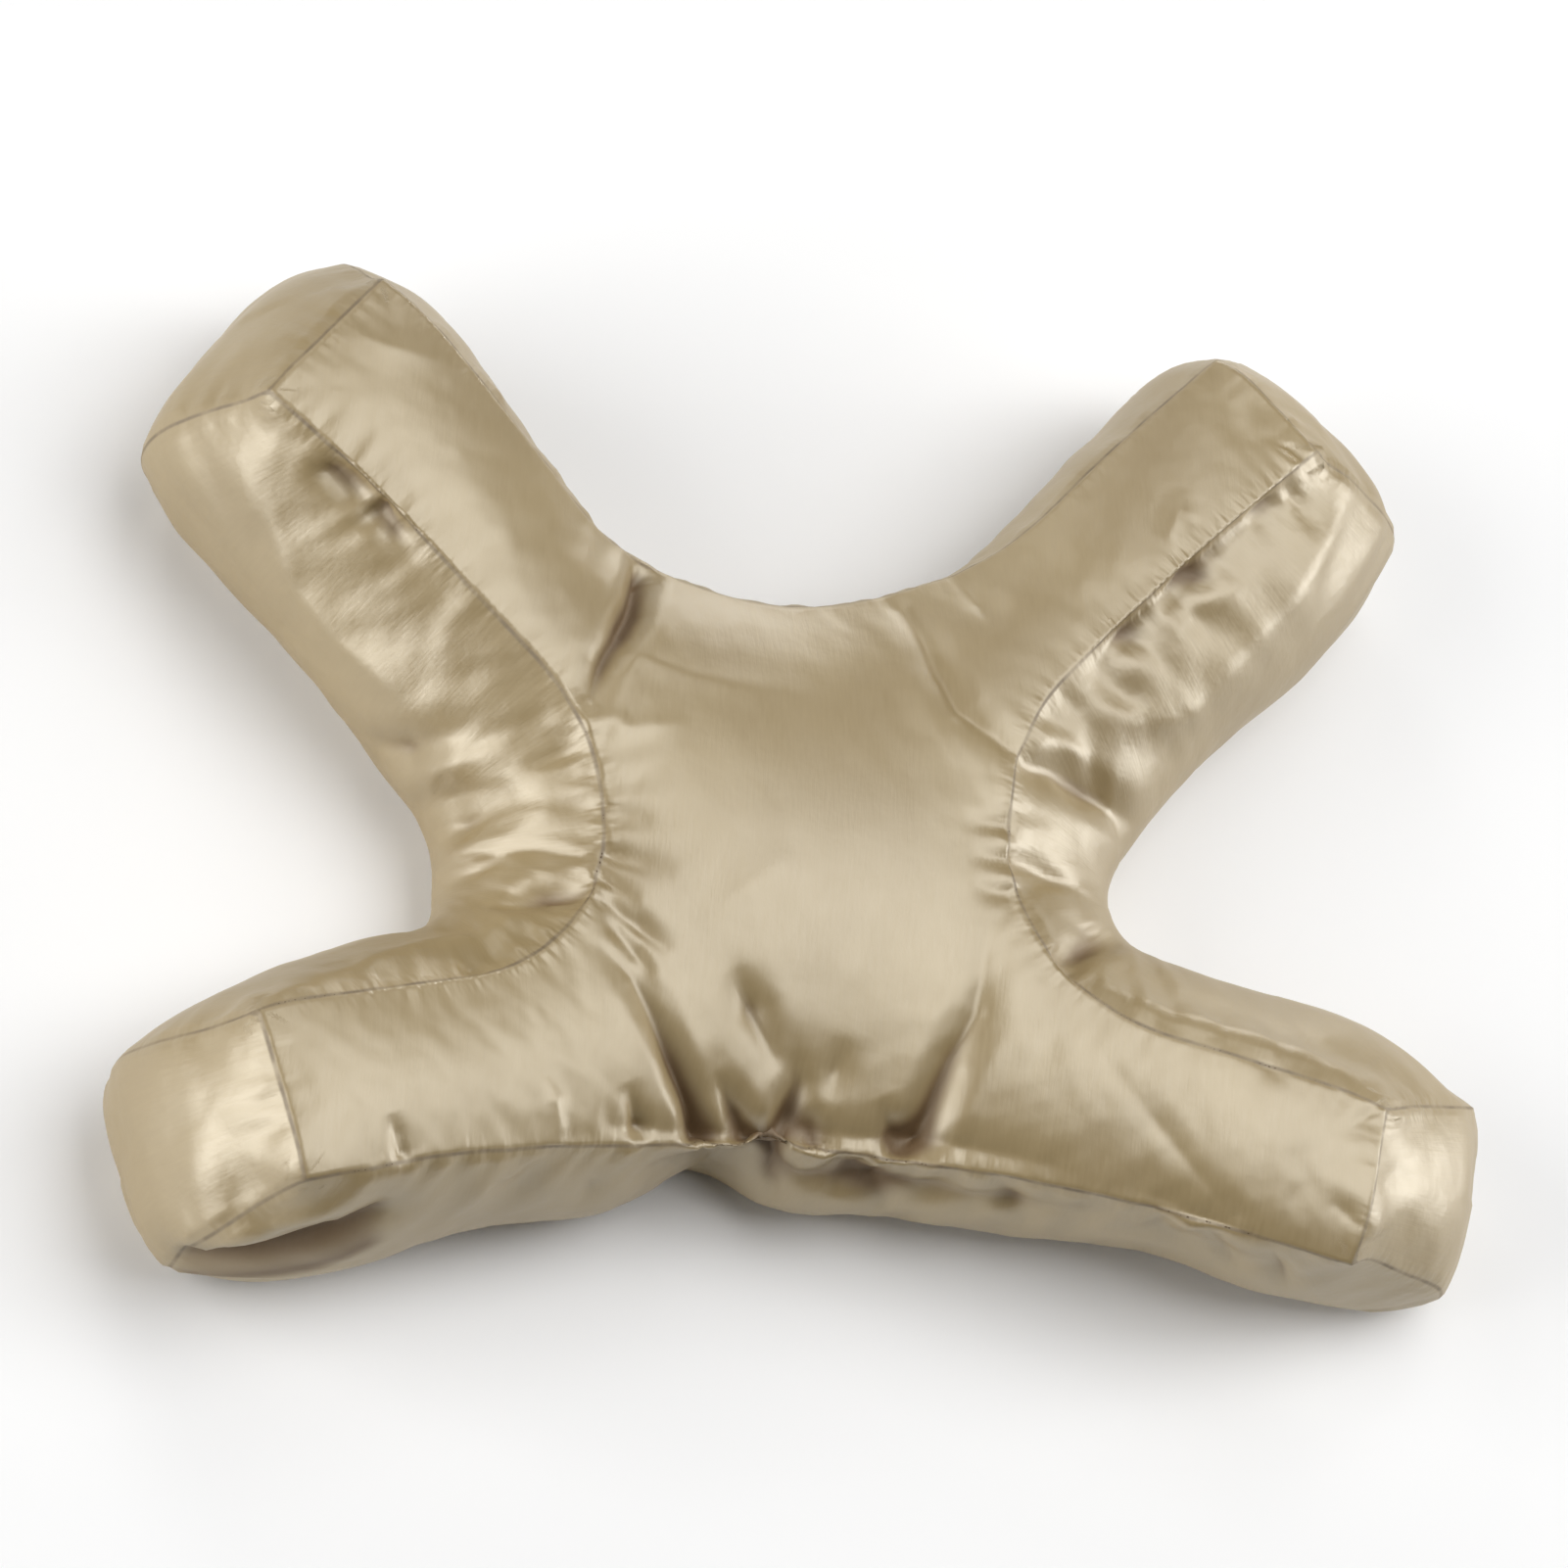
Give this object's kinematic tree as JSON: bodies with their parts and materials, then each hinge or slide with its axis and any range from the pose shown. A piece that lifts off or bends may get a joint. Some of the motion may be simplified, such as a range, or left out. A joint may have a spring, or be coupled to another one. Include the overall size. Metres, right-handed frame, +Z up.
{
  "type": "contour pillow",
  "caption": "Stuffed X-shaped contour pillow in champagne satin, with a narrow front panel, rounded gusset walls and capped arms, that holds a face clear of the bed.",
  "frame": {"origin": "middle of the pillow's outline in plan, on the floor under its flat back", "axes": "+Z up, out of the front panel; +Y towards the upper arms; +X towards the right-hand arms, along the longest side"},
  "size_m": [0.5048, 0.4136, 0.1014],
  "materials": {
    "satin": "satin"
  },
  "bodies": {
    "root": {"pillow": "satin"}
  },
  "joints": []
}
